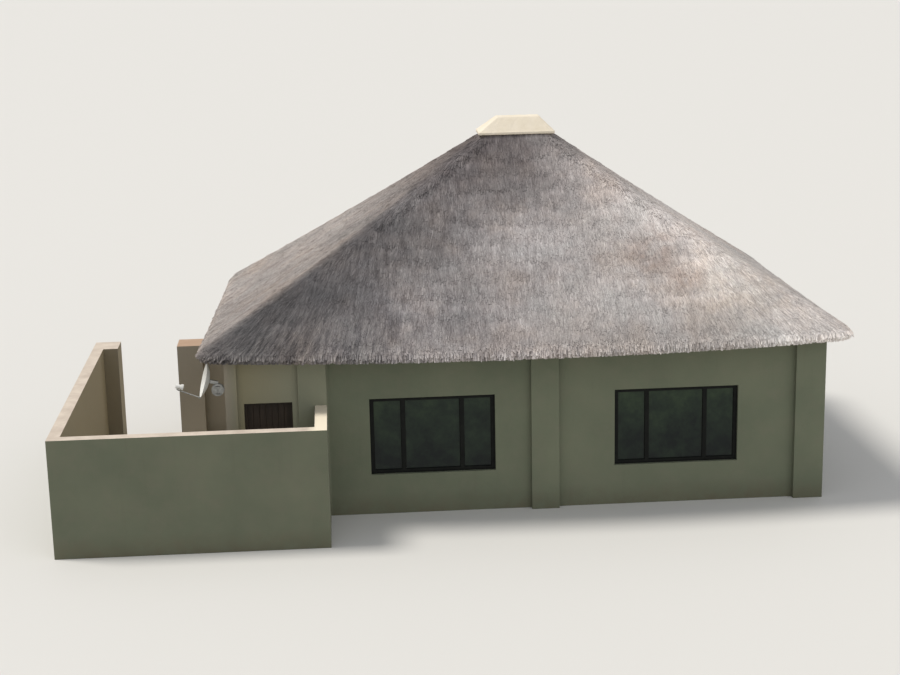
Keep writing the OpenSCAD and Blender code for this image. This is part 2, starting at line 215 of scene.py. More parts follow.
def painted_plaster():
    f = Finish("painted_plaster")
    here = f.where()
    x, y, height = f.axes(here)
    blotch = f.noise(here, 0.8, 3.0, 0.55)
    patch = f.noise(here, 3.5, 3.0, 0.6)
    runs = f.noise(f.where((9, 9, 0.7)), 1.0, 3.0, 0.6)
    colour = f.ramp(blotch, (0.30, "#636955"), (0.70, "#6e725d"))
    colour = f.mix(f.span(patch, 0.45, 0.75, 0.0, 0.25), colour, rgb("#7a7566"))
    colour = f.mix(f.span(runs, 0.60, 0.80, 0.0, 0.14), colour, rgb("#565647"))
    colour = yard_painted_light(f, colour, x, y)
    splash = f.times(f.span(height, 0.02, 0.42, 1.0, 0.0), f.span(patch, 0.3, 0.7, 0.35, 1.0))
    colour = f.mix(f.times(splash, 0.55), colour, rgb("#5b523e"))
    # Only the tops of the yard walls and gate piers are pale: partly bare plaster, partly painted
    # sunlight
    top = f.mix(f.span(patch, 0.30, 0.70), rgb("#cdc0b0"), rgb("#b8aa9b"))
    # Paler still on the return wall's top: painted sunlight where the eave shades it
    top = f.mix(f.span(x, -4.10, -3.92), top, rgb("#e8dcc4"))
    worn_pier = f.times(f.span(x, -6.92, -6.88), f.span(y, 1.30, 1.36))
    top = f.mix(f.times(worn_pier, 0.75), top, rgb("#a88466"))
    up = f.axes(f.put("ShaderNodeNewGeometry").outputs["Normal"])[2]
    bare_and_sunlit_top = f.times(f.span(up, 0.55, 0.85), f.span(x, YARD_RIGHT + 0.06, YARD_RIGHT + 0.04),
                     f.span(height, YARD_H - 0.10, YARD_H - 0.05))
    colour = f.mix(bare_and_sunlit_top, colour, top)
    coat = f.plus(f.times(f.noise(here, 130.0, 3.0, 0.7), 0.25), f.noise(here, 9.0, 2.0))
    return f.surface(Base_Color=colour, Roughness=f.span(patch, 0.2, 0.8, 0.82, 0.95),
                     Normal=f.bump(coat, 0.006, 0.7))


def floated_concrete():
    f = Finish("floated_concrete")
    here = f.where()
    colour = f.ramp(f.noise(here, 1.6, 4.0, 0.6), (0.3, "#77746a"), (0.7, "#928e82"))
    colour = f.mix(f.span(f.cells(here, 60.0), 0.0, 0.12, 0.25, 0.0), colour, rgb("#5a574e"))
    return f.surface(Base_Color=colour, Roughness=f.span(f.noise(here, 5.0), 0.3, 0.7, 0.6, 0.85),
                     Normal=f.bump(f.noise(here, 70.0, 4.0, 0.7), 0.002, 0.6))


def reed_bundles(f, x, y, height, side):
    """Pale and dark bundles of reed that fan out towards the hips."""
    above_eave = f.calc("SUBTRACT", height, EAVE_H - 0.01)

    def leaning(along, half):
        """How far along an eave a reed starts that has leant towards the hip on its way up."""
        cube = f.times(along, f.times(along, along))
        return f.plus(along, f.times(cube, above_eave, 1 / (3 * half ** 2)))

    start = f.mix(f.span(side, -0.01, 0.01), leaning(y, EAVE_B), leaning(x, EAVE_A))
    bundle = f.put("ShaderNodeCombineXYZ", {"X": start, "Y": height}).outputs[0]
    return f.span(f.noise(f.where((8.5, 2.6, 1.0), bundle), 1.0, 2.0, 0.6), 0.38, 0.62)


def reed_colour(f, here, level):
    """Grey reeds from dark to pale, with faint hues and, at the right of the front slope, a
    brown stain and a pale yellow one."""
    colour = f.ramp(level, (0.05, "#7f7875"), (0.36, "#b5aeaa"), (0.62, "#d0c8c4"),
                    (0.92, "#ece6e0"))
    weather = f.span(f.noise(here, 0.45, 4.0, 0.6), 0.50, 0.68, 0.0, 0.154)
    colour = f.tinted(weather, colour, rgb("#c9bba9"))
    hue = f.ramp(f.noise(here, 1.1, 3.0, 0.6), (0.34, "#f2f5f6"), (0.50, "#fafafa"),
                 (0.66, "#fffbf7"))
    colour = f.mix(1.0, colour, hue, "MULTIPLY")
    spotty = f.span(f.noise(here, 3.0, 3.0, 0.6), 0.35, 0.60, 0.25, 1.0)
    stain = f.most(f.near(here, (2.5, -2.4, 4.65), 0.75), f.near(here, (3.0, -2.85, 4.25), 0.55))
    colour = f.tinted(f.times(stain, spotty, 0.75), colour, rgb("#d3c3ba"))
    pale = f.times(f.near(here, (3.8, -3.0, 4.15), 1.3), spotty, 0.4)
    return f.tinted(pale, colour, rgb("#fffaee"))


# Blotches of the front slope: middle, reach and how much darker or paler; the dark one under the
# left hip is partly painted shade
BLOTCHES_AND_SHADE = (((-2.0, -2.0, 5.0), 1.2, 0.63), ((-0.4, -1.1, 5.9), 1.4, 0.84),
            ((-2.5, -3.55, 3.6), 1.2, 1.42), ((-3.9, -3.7, 3.5), 1.0, 1.30),
            ((0.3, -2.05, 5.0), 0.9, 1.25), ((3.6, -2.7, 4.3), 0.9, 1.25))


def slope_blotches_and_light(f, colour, here, side, facing):
    """Dark under the left hip, partly painted shade there, and along the foot at the right; pale
    at the foot of the left, beside the right hip, where it is painted light, and on the far half
    of the left slope."""
    x, y, height = f.axes(here)
    ragged = f.span(f.noise(here, 1.6, 3.0, 0.6), 0.3, 0.7, -0.3, 0.3)
    for point, reach, factor in BLOTCHES_AND_SHADE:
        colour = f.tinted(f.times(f.near(here, point, reach, ragged), facing), colour, factor)
    ragged_height = f.plus(height, f.times(ragged, 0.4))
    right_foot = f.times(f.span(ragged_height, 3.95, 3.40), f.span(x, 0.2, 1.4),
                         f.span(x, 4.8, 3.4))
    colour = f.tinted(f.times(right_foot, facing), colour, 0.72)
    # Painted light beside the right hip, where the slope turns from the lamp
    painted_light_right_hip = f.times(f.span(side, 0.28, 0.05), f.span(x, 0.2, 0.9), f.span(height, 4.0, 5.2))
    colour = f.tinted(painted_light_right_hip, colour, 1.36)
    return f.tinted(f.times(f.span(y, -1.0, 0.8), f.span(x, 0.0, -1.0)), colour, 1.20)


def weathered_thatch(name, combed):
    """The coat has one map of its reeds laid over the slopes; each loose tuft has its own tone."""
    f = Finish(name)
    here = f.where()
    x, y, height = f.axes(here)
    strand = f.own("strand", "Vector")
    if combed:
        reeds = f.span(f.noise(f.where((24.0, 2.6, 1.0), strand), 1.0, 3.0, 0.65), 0.32, 0.68)
        tone = f.span(f.noise(f.where((5.0, 1.3, 1.0), strand), 1.0), 0.32, 0.68, 0.25, 0.80)
        ridge = 0.010
    else:
        reeds = f.span(f.noise(f.where((9.0, 0.9, 1.0), strand), 1.0, 2.0, 0.6), 0.36, 0.64)
        tone = f.own("tone", "Fac")
        ridge = 0.006

    # Above 0 on the front and back slopes, below 0 on the left and right ones
    sideways = f.times(f.calc("ABSOLUTE", x), 1 / EAVE_A)
    side = f.calc("SUBTRACT", f.times(f.calc("ABSOLUTE", y), 1 / EAVE_B), sideways)
    facing = f.span(f.calc("SUBTRACT", f.times(y, -1 / EAVE_B), sideways), -0.14, 0.0)

    # The bundles tell apart most at the left of the eave
    clumps = reed_bundles(f, x, y, height, side)
    low_left = f.times(f.span(height, 4.1, 3.4), f.span(x, 0.0, -3.0))
    eave = f.times(f.span(height, 3.60, 3.30), 0.35)
    bold = f.most(low_left, eave, f.span(x, 1.0, -2.5, 0.30, 0.75))
    contrast = f.plus(f.span(clumps, 0.0, 1.0, -0.26, 0.24),
                      f.times(f.calc("SUBTRACT", tone, 0.55), 0.20))
    level = f.plus(f.times(tone, 0.45), f.span(reeds, 0.0, 1.0, 0.14, 0.66))
    colour = reed_colour(f, here, f.plus(level, f.times(bold, contrast)))

    # The front slope is darker beside its left hip and paler towards the right: partly weathering,
    # partly painted shade and painted light
    along = f.plus(x, f.span(f.noise(here, 0.35, 4.0, 0.6), 0.2, 0.8, -1.6, 1.6))
    weathering_and_shade = f.ramp(f.span(along, -6.0, 6.0), (0.12, "#6c6c6f"), (0.27, "#8d8d91"),
                  (0.44, "#cdcccf"), (0.68, "#f4f3f3"), (0.92, "#ffffff"))
    front_share = f.times(facing, f.span(f.times(low_left, clumps), 0.0, 1.0, 1.0, 0.74))
    # On the other slopes, paler towards the right: painted light where the right slope turns from
    # the lamp
    sides = f.ramp(f.span(x, -6.0, 6.0), (0.55, "#bdb9b7"), (0.80, "#f4f3f1"))
    colour = f.mix(1.0, colour, f.mix(front_share, sides, weathering_and_shade), "MULTIPLY")
    damp = f.span(f.noise(f.where((0.6, 0.6, 1.0)), 1.0, 4.0, 0.65), 0.52, 0.76, 0.0, 0.40)
    sooty = f.times(f.span(height, 4.8, 6.6), f.span(along, 2.2, 0.4, 0.15, 1.0))
    colour = f.tinted(f.plus(damp, sooty, True), colour, rgb("#9f9a9b"))
    colour = slope_blotches_and_light(f, colour, here, side, facing)
    # Paler along the eave's lip and towards the right end
    paler_lip_and_right = f.plus(f.span(height, 3.38, 3.24, 0.0, 0.70), f.span(x, 3.0, 6.0, 0.0, 0.20), True)
    colour = f.tinted(paler_lip_and_right, colour, (1.6, 1.6, 1.58, 1.0))
    return f.surface(Base_Color=colour, Roughness=f.span(reeds, 0.2, 0.8, 0.75, 0.95),
                     Normal=f.bump(reeds, ridge, 0.8))


def cap_mortar():
    f = Finish("cap_mortar")
    here = f.where()
    colour = f.ramp(f.noise(here, 2.2, 4.0, 0.6), (0.3, "#d9cdb6"), (0.7, "#e6dbc8"))
    runs = f.span(f.noise(f.where((7, 7, 1.2)), 1.0, 3.0), 0.60, 0.85, 0.0, 0.3)
    colour = f.mix(runs, colour, rgb("#cdbfa3"))
    return f.surface(Base_Color=colour, Roughness=f.span(f.noise(here, 6.0), 0.3, 0.7, 0.8, 0.95),
                     Normal=f.bump(f.noise(here, 24.0, 5.0, 0.65), 0.006, 0.8))


def dark_frame_paint():
    f = Finish("dark_frame_paint")
    here = f.where()
    colour = f.ramp(f.noise(here, 4.0, 3.0), (0.3, "#0b0d0b"), (0.7, "#141612"))
    colour = f.mix(f.span(f.noise(here, 30.0, 3.0), 0.6, 0.8, 0.0, 0.3), colour, rgb("#1e1f1a"))
    return f.surface(Base_Color=colour, Roughness=f.span(f.noise(here, 9.0), 0.3, 0.7, 0.48, 0.66),
                     Normal=f.bump(f.noise(here, 90.0), 0.0006, 0.5), Specular_IOR_Level=0.15)


def window_pane():
    """The glass is dark and opaque: painted shade for the dark room behind it, and a painted
    reflection that is darker lower down.
    """
    f = Finish("window_pane")
    here = f.where()
    lower = f.span(f.axes(here)[2], 0.8, 2.2, -0.16, 0.14)
    cloudy_reflection = f.plus(f.noise(here, 2.4, 5.0, 0.65), lower)
    colour = f.ramp(cloudy_reflection, (0.30, "#101817"), (0.55, "#202c22"), (0.80, "#32402d"))
    sheen = f.span(f.noise(here, 2.5, 3.0), 0.3, 0.7, 0.05, 0.16)
    return f.surface(Base_Color=colour, Roughness=sheen, IOR=1.3,
                     Normal=f.bump(f.noise(here, 1.6), 0.01, 0.12))


def door_timber():
    f = Finish("door_timber")
    grain = f.noise(f.where((55, 55, 2.2)), 1.0, 4.0, 0.6, 0.6)
    colour = f.ramp(grain, (0.25, "#241e17"), (0.55, "#392e25"), (0.80, "#4f4035"))
    wear = f.span(f.noise(f.where(), 3.0, 4.0, 0.6), 0.5, 0.8, 0.0, 0.35)
    return f.surface(Base_Color=f.mix(wear, colour, rgb("#2a2019")),
                     Roughness=f.span(grain, 0.3, 0.7, 0.45, 0.65),
                     Normal=f.bump(grain, 0.0015, 0.6))


def hardware_steel(name, light, dark, rough):
    f = Finish(name)
    here = f.where()
    colour = f.ramp(f.noise(here, 22.0, 4.0, 0.65), (0.3, dark), (0.7, light))
    dulled = f.span(f.noise(here, 40.0, 3.0), 0.3, 0.7, rough, rough + 0.16)
    return f.surface(Base_Color=colour, Metallic=1.0, Roughness=dulled,
                     Normal=f.bump(f.noise(here, 160.0), 0.0004, 0.5))


def dish_paint():
    f = Finish("dish_paint")
    here = f.where()
    colour = f.ramp(f.noise(here, 5.0, 4.0, 0.6), (0.3, "#d6d4cc"), (0.7, "#e9e8e2"))
    runs = f.span(f.noise(f.where((30, 30, 3)), 1.0, 3.0), 0.6, 0.85, 0.0, 0.35)
    return f.surface(Base_Color=f.mix(runs, colour, rgb("#a9a498")),
                     Roughness=f.span(f.noise(here, 12.0), 0.3, 0.7, 0.35, 0.5),
                     Normal=f.bump(f.noise(here, 120.0), 0.0004, 0.5))


THATCH = weathered_thatch("weathered_thatch", True)
REEDS = weathered_thatch("weathered_reeds", False)
MORTAR = cap_mortar()
BARS = dark_frame_paint()
TIMBER = door_timber()
FINISH_OF_SLOT = {
    "plaster": painted_plaster(), "concrete": floated_concrete(), "thatch": THATCH,
    "cap_mortar": MORTAR, "window_bars": BARS, "window_panes": window_pane(),
    "door_timber": TIMBER, "dish_white": dish_paint(),
    "door_metal": hardware_steel("door_steel", "#c9c7c1", "#9a9891", 0.28),
    "dish_steel": hardware_steel("galvanised_steel", "#c6c7c4", "#9c9d9a", 0.42)}

for part in frame["record"]["subparts"]:
    node = frame["nodes"][part["node"]]
    node.data.materials.clear()
    node.data.materials.append(FINISH_OF_SLOT[part["material_slot"]])


# Pieces

def placed(name, mesh):
    obj = bpy.data.objects.new(name, mesh)
    bpy.context.scene.collection.objects.link(obj)
    return obj


def piece(name, verts, faces, finish, smooth=False):
    mesh = bpy.data.meshes.new(name)
    mesh.from_pydata([tuple(map(float, v)) for v in verts], [], [tuple(map(int, q)) for q in faces])
    mesh.materials.append(finish)
    mesh.update()
    if smooth:
        mesh.polygons.foreach_set("use_smooth", [True] * len(mesh.polygons))
    return placed(name, mesh)


def closed_rings(rings, first_middle, last_middle):
    """Points and faces of a closed skin over rings of points, each end closed round a middle."""
    n, m = len(rings[0]), len(rings)
    last = (m - 1) * n
    faces = [(j * n + i, j * n + (i + 1) % n, (j + 1) * n + (i + 1) % n, (j + 1) * n + i)
             for j in range(m - 1) for i in range(n)]
    for i in range(n):
        i2 = (i + 1) % n
        faces += [(m * n, i2, i), (m * n + 1, last + i, last + i2)]
    return np.concatenate(list(rings) + [[first_middle, last_middle]]), faces


def grid_normals(g):
    across = np.roll(g, -1, 1) - np.roll(g, 1, 1)
    up = np.empty_like(g)
    up[1:-1] = g[2:] - g[:-2]
    up[0], up[-1] = g[1] - g[0], g[-1] - g[-2]
    n = np.cross(across, up)
    return n / np.linalg.norm(n, axis=2, keepdims=True)


def mix(p, q, t):
    return p + (q - p) * t


# Thatched roof

SIDE_STEPS, CORNER_STEPS = (96, 150), 18      # points along a short and a long side, and a corner
SLOPE_LEVELS = 8 * COURSES
VOID_LEVELS = 24
# The rounded lip of the eave from its foot up: how far it is set in and how high above the eave
LIP = ((0.090, 0.004), (0.060, 0.0), (0.035, 0.012), (0.015, 0.035), (0.006, 0.065),
       (0.0, 0.10), (0.0, 0.135))
LIP_LEVELS = len(LIP)
# How much deeper the coat lies on the lip, and where the lip turns into the slope
LIP_DEEPER, TURN_DEEPER = 0.010, (0.004, 0.011, 0.022, 0.013, 0.006, 0.002)
SHALLOW, DEEP = 0.008, 0.042


def outline(a, b, front_r, back_r, bow):
    """The roof's outline from the front right corner round, and the side each point belongs to."""
    corners = ((a - front_r, front_r - b, front_r), (a - back_r, b - back_r, back_r),
               (back_r - a, b - back_r, back_r), (front_r - a, front_r - b, front_r))
    points, sides = [], []
    for q, (x, y, r) in enumerate(corners):
        for i in range(CORNER_STEPS + 1):
            turn = math.radians(90 * (q - 1 + i / CORNER_STEPS))
            points.append((x + r * math.cos(turn), y + r * math.sin(turn)))
            sides.append((q - 1) % 4 if i <= CORNER_STEPS // 2 else q)
        out = np.array([(1, 0), (0, 1), (-1, 0), (0, -1)][q])
        *next_middle, next_r = corners[(q + 1) % 4]
        start, end = np.array(points[-1]), np.array(next_middle) + out * next_r
        steps = SIDE_STEPS[q % 2]
        for k in range(1, steps):
            bulge = (q % 2) * bow * math.sin(math.pi * k / steps)
            points.append(start + (end - start) * k / steps + out * bulge)
            sides.append(q)
    return np.array(points), sides


def roof_level(t, inset, z):
    """Level t of the roof, from 0 at the eave to 1 at the cap, set in and raised as given."""
    a = mix(EAVE_A, TOP_A, t) - inset - 4 * SAG * t * (1 - t)
    b = mix(EAVE_B, TOP_B, t) - inset - 4 * SAG * FRONT_SAG * t * (1 - t)
    fade = (1 - t) ** 2
    front_r, back_r = mix(FRONT_R, TOP_R, t) - inset, mix(BACK_R, TOP_R, t) - inset
    x, y = outline(a, b, front_r, back_r, BOW * fade)[0].T
    return np.column_stack([CAP_X * t + x * (1 - TAPER * (1 - t) * (y / b + 1) / 2), y,
                            z + CORNER_LIFT * fade * (x / a) ** 4 * (y / b) ** 4])


def roof_relief(p):
    """How deep the coat lies under its full form at a point: soft waves, lumps and the
    combed-out feet of the courses."""
    q = Vector(p)
    waves = noise.noise(q * 1.1) * 0.5 + noise.noise(q * 2.6 + Vector((7, 3, 1))) * 0.35
    lumps = noise.noise(Vector((q.x * 5, q.y * 5, q.z * 4)))
    wander = 0.22 * noise.noise(q * 0.9) + 0.14 * noise.noise(q * 3.1)
    course = max(0.0, COURSES * (q.z - SLOPE_Z) / SLOPE_H + wander) % 1.0
    groove = course / 0.6 if course < 0.6 else (1.0 - course) / 0.4
    faint = max(0.0, 0.6 + 0.8 * noise.noise(q * 0.6 + Vector((2, 9, 4))))
    combed = COURSE_RELIEF * faint * groove * (q.z > SLOPE_Z)
    return min(max(0.018 + 0.007 * waves + 0.004 * lumps + combed, SHALLOW), DEEP)


def roof_coat():
    """The levels of the coat's surface, which lies a little under the part's own form."""
    slopes = [j / SLOPE_LEVELS for j in range(SLOPE_LEVELS + 1)]
    full = np.array([roof_level(0, inset, EAVE_H + up) for inset, up in LIP]
                    + [roof_level(t, 0, SLOPE_Z + SLOPE_H * t) for t in slopes])
    depth = np.array([[roof_relief(p) for p in row] for row in full])
    depth[:LIP_LEVELS] += LIP_DEEPER
    depth[LIP_LEVELS - 2:LIP_LEVELS + 4] += np.array(TURN_DEEPER)[:, None]
    depth[0], depth[1] = 0.0, 0.006
    return full - grid_normals(full) * depth[..., None]


coat = roof_coat()
side_of_column = outline(EAVE_A, EAVE_B, FRONT_R, BACK_R, BOW)[1]
count = len(side_of_column)


def thatch_body():
    """The coat with the roof's void under it, one thickness of thatch below the slopes."""
    foot = (EAVE_H - SLOPE_Z + THATCH_T) / SLOPE_H
    void = [roof_level(t, VOID_IN, SLOPE_Z + SLOPE_H * t - THATCH_T)
            for t in np.linspace(VOID_TOP, foot, VOID_LEVELS)]
    rings = void + list(coat)
    void_top = SLOPE_Z + SLOPE_H * VOID_TOP - THATCH_T
    verts, faces = closed_rings(rings, (0, 0, void_top), (0, 0, CAP_H))
    body = piece("thatch_body", verts, faces, THATCH, smooth=True)

    # The map of the reeds: metres along the eave of each side, apart from each other,
    # and up its slope
    next_side, up_slope = 20.0, 1.42
    along_x = np.tile(np.array(side_of_column) % 2 == 1, len(rings))
    across = np.where(along_x, verts[:-2, 0], verts[:-2, 1] + next_side)
    strands = np.column_stack([np.append(across, [0.0, 0.0]), verts[:, 2] * up_slope,
                               np.zeros(len(verts))])
    attribute = body.data.attributes.new("strand", "FLOAT_VECTOR", "POINT")
    attribute.data.foreach_set("vector", strands.ravel())
    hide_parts("thatch_roof")
    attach(body, "hut")


thatch_body()


# Tufts: loose reeds laid over the coat

# What each kind of tuft is given, and its value where a row of tufts doesn't say
TUFT_INPUTS = (
    ("Surface", "Geometry", None), ("Tufts per square metre", "Float", None),
    ("Tuft length", "Float", None), ("Tuft width", "Float", None),
    ("Tuft thickness", "Float", None), ("Root width", "Float", 0.0),
    ("Root lift", "Float", 0.003), ("Butt rise", "Float", None), ("Stray", "Float", None),
    ("Fan", "Float", 1.0), ("Droop", "Float", 0.0), ("Joints", "Int", 1),
    ("Seed", "Int", None), ("Finish", "Material", None))


def tuft_tree():
    """Lays spikes of reed down a surface, each rooted at a point with its butt down the slope
    and a little proud."""
    tree = bpy.data.node_groups.new("reed_tufts", "GeometryNodeTree")
    for name, kind, value in TUFT_INPUTS:
        socket = tree.interface.new_socket(name, in_out="INPUT", socket_type="NodeSocket" + kind)
        if value is not None:
            socket.default_value = value
    tree.interface.new_socket("Tufts", in_out="OUTPUT", socket_type="NodeSocketGeometry")
    given = tree.nodes.new("NodeGroupInput").outputs

    def put(kind, inputs=(), **settings):
        return add_node(tree, kind, inputs, **settings)

    def vector(op, a, b):
        second = "Scale" if op == "SCALE" else 1
        n = put("ShaderNodeVectorMath", {0: a, second: b}, operation=op)
        return n.outputs["Value" if op == "DOT_PRODUCT" else "Vector"]

    def product(a, b):
        return put("ShaderNodeMath", {0: a, 1: b}, operation="MULTIPLY").outputs[0]

    def chance(low, high, step):
        seed = put("ShaderNodeMath", {0: given["Seed"], 1: float(step)}, operation="ADD").outputs[0]
        return put("FunctionNodeRandomValue", {2: low, 3: high, "Seed": seed},
                   data_type="FLOAT").outputs[1]

    spread = put("GeometryNodeDistributePointsOnFaces", {
        "Mesh": given["Surface"], "Density": given["Tufts per square metre"],
        "Seed": given["Seed"]})
    normal = spread.outputs["Normal"]

    # Up the slope, turned towards the hip the nearer a corner is: that aim without its part
    # along the normal
    spot = put("GeometryNodeInputPosition").outputs[0]
    square = vector("MULTIPLY", spot, spot)
    cube = vector("MULTIPLY", square, spot)
    fan = vector("MULTIPLY", cube, (-1 / EAVE_A ** 2, -1 / EAVE_B ** 2, 0.0))
    upwards = (0.0, 0.0, 3.0)
    aim = vector("ADD", vector("SCALE", fan, given["Fan"]), upwards)
    up = vector("SUBTRACT", aim, vector("SCALE", normal, vector("DOT_PRODUCT", normal, aim)))
    stand = put("FunctionNodeAxesToRotation", {0: normal, 1: up}, primary_axis="Z",
                secondary_axis="Y").outputs[0]
    lean = put("ShaderNodeCombineXYZ", {
        0: product(chance(-1.5, -0.5, 12), given["Butt rise"]),
        2: product(chance(-1.0, 1.0, 11), given["Stray"])}).outputs[0]
    lean_turn = put("FunctionNodeEulerToRotation", {0: lean}).outputs[0]
    pose = put("FunctionNodeRotateRotation", {0: stand, 1: lean_turn},
               rotation_space="LOCAL").outputs[0]
    lift = vector("SCALE", normal, product(chance(-1.0, 1.0, 13), given["Root lift"]))
    roots = put("GeometryNodeSetPosition", {
        "Geometry": spread.outputs["Points"], "Offset": lift}).outputs[0]

    # One tuft: a three-sided spike, its root at the origin and its cut butt down the slope
    spike = put("GeometryNodeMeshCone", {
        "Vertices": 3, "Side Segments": given["Joints"], "Radius Top": 0.5,
        "Radius Bottom": given["Root width"], "Depth": 1.0}).outputs["Mesh"]
    for turn in ((0, 0, math.pi / 2), (math.pi / 2, 0, 0)):
        spike = put("GeometryNodeTransform", {
            "Geometry": spike, "Rotation": Euler(turn)}).outputs[0]
    bend = vector("DOT_PRODUCT", square, (0.0, -1.0, 0.0))
    sink = put("ShaderNodeCombineXYZ", {2: product(bend, given["Droop"])}).outputs[0]
    bent = put("GeometryNodeSetPosition", {"Geometry": spike, "Offset": sink}).outputs[0]
    own_place = put("GeometryNodeInputPosition").outputs[0]
    tuft = put("GeometryNodeStoreNamedAttribute", {
        "Geometry": bent, "Name": "strand", "Value": own_place},
        data_type="FLOAT_VECTOR", domain="POINT").outputs[0]

    size = put("ShaderNodeCombineXYZ", {
        0: product(chance(0.6, 1.5, 15), given["Tuft width"]),
        1: product(chance(0.65, 1.35, 14), given["Tuft length"]),
        2: given["Tuft thickness"]}).outputs[0]
    planted = put("GeometryNodeInstanceOnPoints", {
        "Points": roots, "Instance": tuft, "Rotation": pose, "Scale": size}).outputs[0]
    toned = put("GeometryNodeStoreNamedAttribute", {
        "Geometry": planted, "Name": "tone", "Value": chance(0.15, 1.0, 16)},
        data_type="FLOAT", domain="INSTANCE").outputs[0]
    real = put("GeometryNodeRealizeInstances", {"Geometry": toned}).outputs[0]
    finished = put("GeometryNodeSetMaterial", {
        "Geometry": real, "Material": given["Finish"]}).outputs[0]
    put("NodeGroupOutput", {0: finished})
    return tree


TUFTS = tuft_tree()
# How far the reeds end inside the hut's size and under the eave, and what share of a reed
# that hangs lower stays
EDGE, UNDERCUT, HANG = 0.0005, 0.012, 0.25


def trimmed(spots):
    """The reeds are cut off nearly level under the eave, and flush where they would stand past
    the hut's own size."""
    spots = np.clip(spots, np.array(cad_box[0]), np.array(cad_box[1]) - EDGE)
    corner = (spots[:, 0] / EAVE_A) ** 4 * (spots[:, 1] / EAVE_B) ** 4
    cut = EAVE_H + CORNER_LIFT * corner - UNDERCUT
    spots[:, 2] = np.maximum(spots[:, 2], cut + HANG * np.minimum(0.0, spots[:, 2] - cut))
    return spots


def grown(name, surface, sizes):
    """Grows tufts on a surface and returns them as a plain mesh piece."""
    grow = surface.modifiers.new("grow", "NODES")
    grow.node_group = TUFTS
    ids = {s.name: s.identifier for s in TUFTS.interface.items_tree if s.in_out == "INPUT"}
    for key, value in sizes.items():
        grow[ids[key]] = value
    grow[ids["Finish"]] = REEDS
    result = surface.evaluated_get(bpy.context.evaluated_depsgraph_get())
    mesh = bpy.data.meshes.new_from_object(result)
    spots = np.empty(3 * len(mesh.vertices), np.float32)
    mesh.vertices.foreach_get("co", spots)
    mesh.vertices.foreach_set("co", trimmed(spots.reshape(-1, 3)).ravel())
    surface.modifiers.remove(grow)
    bpy.data.objects.remove(surface)
    mesh.name = name
    return placed(name, mesh)


def coat_rows(name, side, first, last):
    """Some rows of the coat on one side of the roof, as a bare surface."""
    index, pts, quads = {}, [], []

    def at(j, i):
        if (j, i) not in index:
            index[j, i] = len(pts)
            pts.append(coat[j, i])
        return index[j, i]

    for j in range(first, last):
        for i in range(count):
            if side_of_column[i] == side:
                i2 = (i + 1) % count
                quads.append((at(j, i), at(j, i2), at(j + 1, i2), at(j + 1, i)))
    return piece(name, pts, quads, THATCH)


# Tufts over the slopes, a fringe hanging over the edge and cut butts under it: their name,
# their rows of the coat, what is added to the seed and their sizes
TUFT_ROWS = (
    ("thatch_tufts_", LIP_LEVELS + 3, len(coat) - 1, 0, {
        "Tufts per square metre": 1080.0, "Tuft length": 0.17, "Tuft width": 0.024,
        "Tuft thickness": 0.008, "Butt rise": 0.022, "Stray": 0.16}),
    ("eave_fringe_", LIP_LEVELS + 1, LIP_LEVELS + 8, 20, {
        "Tufts per square metre": 900.0, "Tuft length": 0.17, "Tuft width": 0.026,
        "Tuft thickness": 0.012, "Butt rise": 0.02, "Stray": 0.10, "Root width": 0.35,
        "Fan": 0.4, "Joints": 2, "Droop": 3.8}),
    ("eave_butts_", 3, LIP_LEVELS + 1, 40, {
        "Tufts per square metre": 1600.0, "Tuft length": 0.10, "Tuft width": 0.026,
        "Tuft thickness": 0.012, "Butt rise": 0.02, "Stray": 0.12, "Root width": 0.35,
        "Fan": 0.0, "Joints": 1, "Droop": 1.2}))

for side, word, seed in ((3, "front", 3), (0, "right", 5), (1, "back", 7), (2, "left", 9)):
    for kind, first, last, later, sizes in TUFT_ROWS:
        rows = coat_rows("bare_" + kind + word, side, first, last)
        grass = grown(kind + word, rows, {**sizes, "Seed": seed + later})
        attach(grass, "hut")


# Ridge cap: a band of mortar with a tapered block on it, floated by hand

CAP_FOOT, CAP_HEAD, CAP_CORNER_R = (0.735, 0.33), (0.42, 0.15), 0.03
CAP_BAND_H, CAP_BLOCK_H, CAP_HEAD_X = 0.06, 0.33, 0.05
CAP_BAND = ((-0.014, 0.0), (-0.019, 0.006), (-0.019, 0.030), (-0.018, 0.050), (-0.012, 0.058),
            (0.002, 0.061))
CAP_BLOCK = (0.03, 0.08, 0.16, 0.26, 0.36, 0.46, 0.56, 0.66, 0.76, 0.86, 0.94)
CAP_TOP = ((0.001, 0.324), (0.008, 0.3285), (0.03, 0.3295), (0.07, 0.329), (0.11, 0.3285))


def ridge_cap_mortar():
    def level(inset, z, t=0.0):
        a, b = (mix(foot, head, t) - inset for foot, head in zip(CAP_FOOT, CAP_HEAD))
        p, _ = outline(a, b, CAP_CORNER_R, CAP_CORNER_R, 0.0)
        return np.column_stack([p[:, 0] + CAP_X + CAP_HEAD_X * t, p[:, 1],
                                np.full(len(p), CAP_H + z)])

    def dent(p):
        spot = Vector(p)
        return max(0.0, 0.0025 + 0.004 * noise.noise(spot * 7) + 0.0025 * noise.noise(spot * 22))

    band = [level(inset, z) for inset, z in CAP_BAND]
    block = [level(0.0, mix(CAP_BAND_H, CAP_BLOCK_H, t), t) for t in CAP_BLOCK]
    top = [level(inset, z, 0.98) for inset, z in CAP_TOP]
    grid = np.array(band + block + top)
    dents = np.array([[dent(p) for p in row] for row in grid])
    grid = grid - grid_normals(grid) * dents[..., None]
    head = (CAP_X + CAP_HEAD_X, 0, CAP_H + CAP_BLOCK_H - 0.002)
    verts, faces = closed_rings(grid, (CAP_X, 0, CAP_H), head)
    cap = piece("ridge_cap_mortar", verts, faces, MORTAR, smooth=True)
    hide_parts("ridge_cap")
    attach(cap, "hut")


# Door leaf of upright boards with a V joint between each two

BOARDS, V_HALF, V_DEEP, BOARD_EDGE = 7, 0.005, 0.006, 0.003


